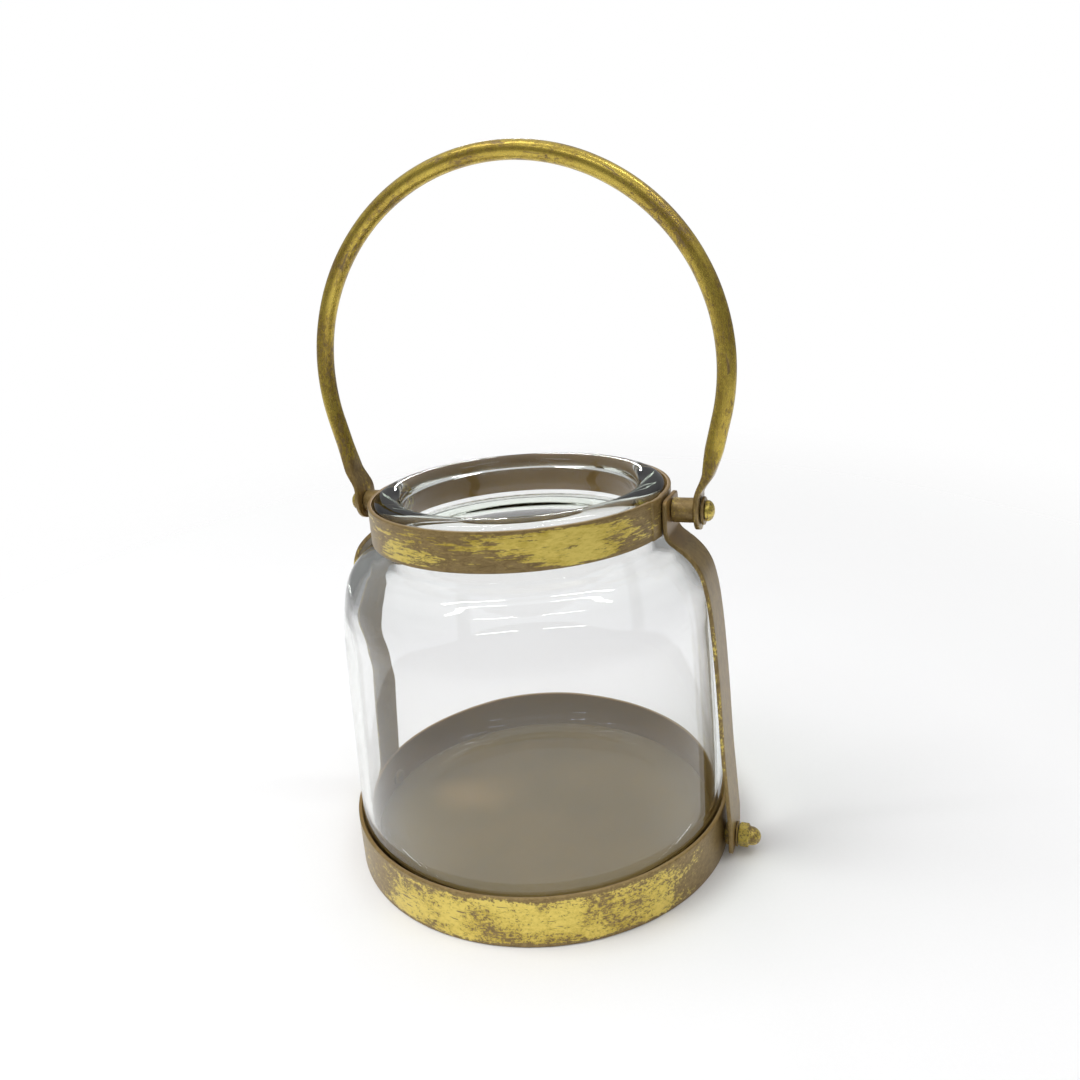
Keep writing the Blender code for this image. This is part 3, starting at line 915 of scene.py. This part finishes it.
def make_floor():
    """A pale floor that fades into the white background with distance from the lantern."""
    bm = bmesh.new()
    bmesh.ops.create_circle(bm, cap_ends=True, radius=6, segments=96)
    floor = new_object("studio_floor", finished_mesh("studio_floor", bm))
    floor.location.z = -0.2 * MM
    floor.rotation_euler.z = math.atan2(CAMERA_PLACE.y, CAMERA_PLACE.x)
    tree = Tree("floor_paper")
    fibre = tree.noise(tree.place(), 900, 3, 0.6)
    paper = tree.blend(fibre, (0.915, 0.915, 0.915), (0.945, 0.945, 0.945))
    tree.set(Base_Color=paper, Roughness=tree.sum((fibre, 0.1), (1.0, 0.7)))
    distance = tree.nodes.new("ShaderNodeVectorMath")
    distance.operation = "LENGTH"
    tree.links.new(tree.stretch(tree.place(), (1, 1.5, 1)), distance.inputs[0])
    tree.set(Alpha=tree.rise(distance.outputs["Value"], 0.2, 1.0, 1.0, 0.0))
    floor.data.materials.append(tree.material)


def ramp_of(nodes, links, source, stops):
    """A grey that follows source through (place, grey) stops."""
    ramp = nodes.new("ShaderNodeValToRGB")
    links.new(source, ramp.inputs["Fac"])
    elements = ramp.color_ramp.elements
    while len(elements) < len(stops):
        elements.new(0.5)
    for element, (place, grey) in zip(elements, stops):
        element.position = place
        element.color = (grey, grey, grey * 1.01, 1)
    return ramp.outputs["Color"]


def make_world():
    """A room for metal and glass to pick up, bright overhead and dim behind the camera.

    The camera itself sees plain white behind the lantern.
    """
    world = bpy.data.worlds.new("studio")
    bpy.context.scene.world = world
    world.use_nodes = True
    nodes = world.node_tree.nodes
    links = world.node_tree.links
    direction = nodes.new("ShaderNodeTexCoord").outputs["Generated"]
    split = nodes.new("ShaderNodeSeparateXYZ")
    links.new(direction, split.inputs[0])
    height = nodes.new("ShaderNodeMapRange")
    height.inputs["From Min"].default_value = -1
    links.new(split.outputs["Z"], height.inputs["Value"])
    near = ramp_of(nodes, links, height.outputs[0], ROOM_NEAR)
    far = ramp_of(nodes, links, height.outputs[0], ROOM_FAR)
    facing = nodes.new("ShaderNodeVectorMath")
    facing.operation = "DOT_PRODUCT"
    links.new(direction, facing.inputs[0])
    facing.inputs[1].default_value = Vector((CAMERA_PLACE.x, CAMERA_PLACE.y, 0)).normalized()
    side = nodes.new("ShaderNodeMapRange")
    side.interpolation_type = "SMOOTHSTEP"
    side.inputs["From Min"].default_value = -0.5
    side.inputs["From Max"].default_value = 0.45
    links.new(facing.outputs["Value"], side.inputs["Value"])
    room = nodes.new("ShaderNodeMix")
    room.data_type = "RGBA"
    links.new(side.outputs[0], room.inputs["Factor"])
    links.new(far, room.inputs[6])
    links.new(near, room.inputs[7])
    path = nodes.new("ShaderNodeLightPath")
    mix = nodes.new("ShaderNodeMix")
    mix.data_type = "RGBA"
    links.new(path.outputs["Is Camera Ray"], mix.inputs["Factor"])
    links.new(room.outputs[2], mix.inputs[6])
    mix.inputs[7].default_value = (1, 1, 1, 1)
    links.new(mix.outputs[2], nodes["Background"].inputs["Color"])


def add_lamp(name, place, turn, size, power):
    """A white rectangular lamp that shines along its own -Z."""
    lamp = bpy.data.lights.new(name, "AREA")
    lamp.shape = "RECTANGLE"
    lamp.size, lamp.size_y = size
    lamp.energy = power
    obj = bpy.data.objects.new(name, lamp)
    bpy.context.scene.collection.objects.link(obj)
    obj.location = place
    obj.rotation_euler = turn
    return obj


def make_lights():
    """A softbox up on the left, and pairs of ceiling tubes that show in the jar's shoulder and lip."""
    place = Vector((-1.0, -0.5, 1.8))
    aim = Vector((0, 0, 0.1))
    turn = (aim - place).to_track_quat("-Z", "Y").to_euler()
    softbox = add_lamp("softbox", place, turn, (1.3, 1.0), 23)
    softbox.visible_glossy = False
    softbox.visible_transmission = False
    toward = Vector((CAMERA_PLACE.x, CAMERA_PLACE.y, 0)).normalized()
    aside = Vector((-toward.y, toward.x, 0))
    across_view = Matrix((aside, -toward, (0, 0, 1))).transposed().to_euler()
    for row, away, apart, length, width in TUBE_ROWS:
        for column, side in (("left", -1), ("right", 1)):
            place = toward * away + aside * apart * side + Vector((0, 0, TUBE_Z))
            add_lamp(f"tube_{row}_{column}", place, across_view, (length, width), TUBE_POWER * width)


def make_camera():
    camera = bpy.data.cameras.new("camera")
    camera.lens = CAMERA_LENS
    camera.sensor_width = CAMERA_SENSOR
    obj = bpy.data.objects.new("camera", camera)
    bpy.context.scene.collection.objects.link(obj)
    forward = (CAMERA_AIM - CAMERA_PLACE).normalized()
    level = forward.cross(Vector((0, 0, 1))).normalized()
    upright = level.cross(forward)
    right = level * math.cos(CAMERA_ROLL) + upright * math.sin(CAMERA_ROLL)
    up = right.cross(forward)
    turned = Matrix((right, up, -forward)).transposed().to_4x4()
    obj.matrix_world = Matrix.Translation(CAMERA_PLACE) @ turned
    bpy.context.scene.camera = obj
    bpy.context.scene.view_settings.view_transform = "Standard"


def main():
    make_camera()
    make_world()
    make_lights()
    make_floor()
    tray_leaf = gilt("tray_leaf", 0.15, 1.4, patchy=0.22, size=0.7)
    collar_leaf = gilt("collar_leaf", 0.85, 3.0, patchy=0.36, hair=0.34, seed=0.31, size=0.7)
    strap_leaf = gilt("strap_leaf", -0.2, 2.0, seed=0.7)
    handle_leaf = gilt(
        "handle_leaf", 1.75, 1.6, patchy=0.2, hair=0.2, seed=1.3, size=0.7, gloss=0.07, leaf=OLIVE_LEAF
    )
    plain_hardware = gilt("hardware_leaf", -0.6, 1.0, seed=2.1, leaf=OLIVE_LEAF)
    shiny_hardware = gilt("cap_leaf", 0.2, 1.0, seed=3.4)
    make_jar(clear_glass())
    make_tray(tray_leaf, taupe_paint())
    make_collar(collar_leaf)
    make_straps(strap_leaf)
    make_handle(handle_leaf)
    make_fasteners(plain_hardware, shiny_hardware)


main()
